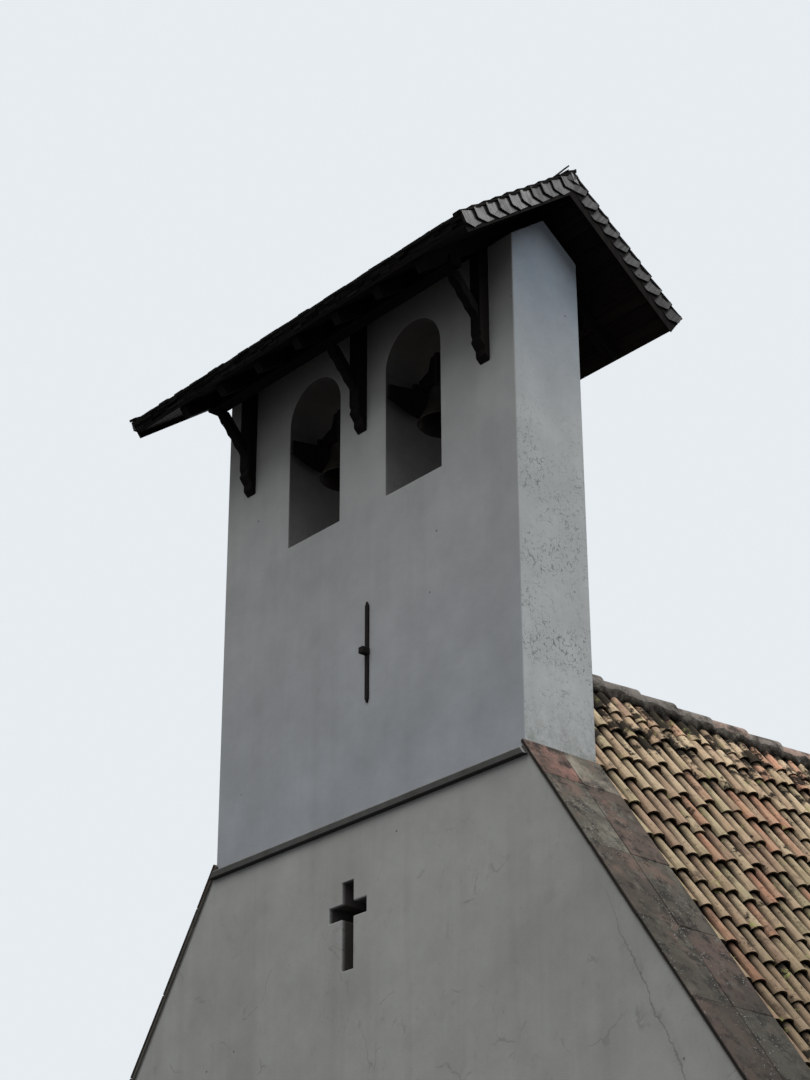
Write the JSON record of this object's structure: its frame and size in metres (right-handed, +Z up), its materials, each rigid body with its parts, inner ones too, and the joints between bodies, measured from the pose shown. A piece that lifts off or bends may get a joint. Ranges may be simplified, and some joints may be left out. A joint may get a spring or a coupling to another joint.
{
  "type": "small chapel",
  "caption": "Hollow chapel with a steep gabled front, a bell wall with swinging bells under a shingled roof on timber brackets, and a tiled nave.",
  "frame": {"origin": "on the ground, at the middle of the plan between the front and rear faces and the side walls", "axes": "+Z up, the gabled front with the bell wall faces -Y, +X to the right when looking at the front"},
  "size_m": [8.7, 11.487, 12.6167],
  "materials": {
    "plaster": "matte",
    "stone_floor": "matte",
    "coping_slab": "matte",
    "roof_tile": "matte",
    "shingle": "matte",
    "dark_timber": "matte",
    "door_wood": "matte",
    "iron": "matte",
    "bronze": "satin",
    "glass": "gloss"
  },
  "bodies": {
    "chapel": {"floor_slab": "stone_floor", "threshold": "stone_floor", "door_leaves": "door_wood", "door_lintel": "dark_timber", "front_wall_left": "plaster", "front_wall_right": "plaster", "front_gable_wall": "plaster", "nave_wall_left": "plaster", "nave_wall_right": "plaster", "rear_wall": "plaster", "window_frames": "door_wood", "window_panes": "glass", "nave_roof_left": "roof_tile", "nave_roof_right": "roof_tile", "nave_ridge": "roof_tile", "roof_beams": "dark_timber", "nave_rafters": "dark_timber", "coping_left": "coping_slab", "coping_right": "coping_slab", "string_course": "plaster", "wall_anchor": "iron", "bell_wall_base": "plaster", "bell_pier_left": "plaster", "bell_pier_middle": "plaster", "bell_pier_right": "plaster", "bell_wall_head": "plaster", "wall_posts": "dark_timber", "bracket_struts": "dark_timber", "eave_beams": "dark_timber", "rafters_front": "dark_timber", "rafters_rear": "dark_timber", "tower_roof_front": "shingle", "tower_roof_rear": "shingle", "verge_boards": "shingle", "bell_bearings": "iron"},
    "left_bell": {"bell_left": "bronze", "clapper_left": "iron", "headstock_left": "dark_timber", "bell_irons_left": "iron", "lever_left": "dark_timber"},
    "right_bell": {"bell_right": "bronze", "clapper_right": "iron", "headstock_right": "dark_timber", "bell_irons_right": "iron", "lever_right": "dark_timber"}
  },
  "joints": [
    {"name": "left_bell_swing", "type": "hinge", "parent": "chapel", "child": "left_bell", "pos_m": [-0.62, -4.896, 11.33], "axis": [1, 0, 0], "range_deg": [-40, 40]},
    {"name": "right_bell_swing", "type": "hinge", "parent": "chapel", "child": "right_bell", "pos_m": [0.62, -4.896, 11.33], "axis": [1, 0, 0], "range_deg": [-40, 40]}
  ]
}
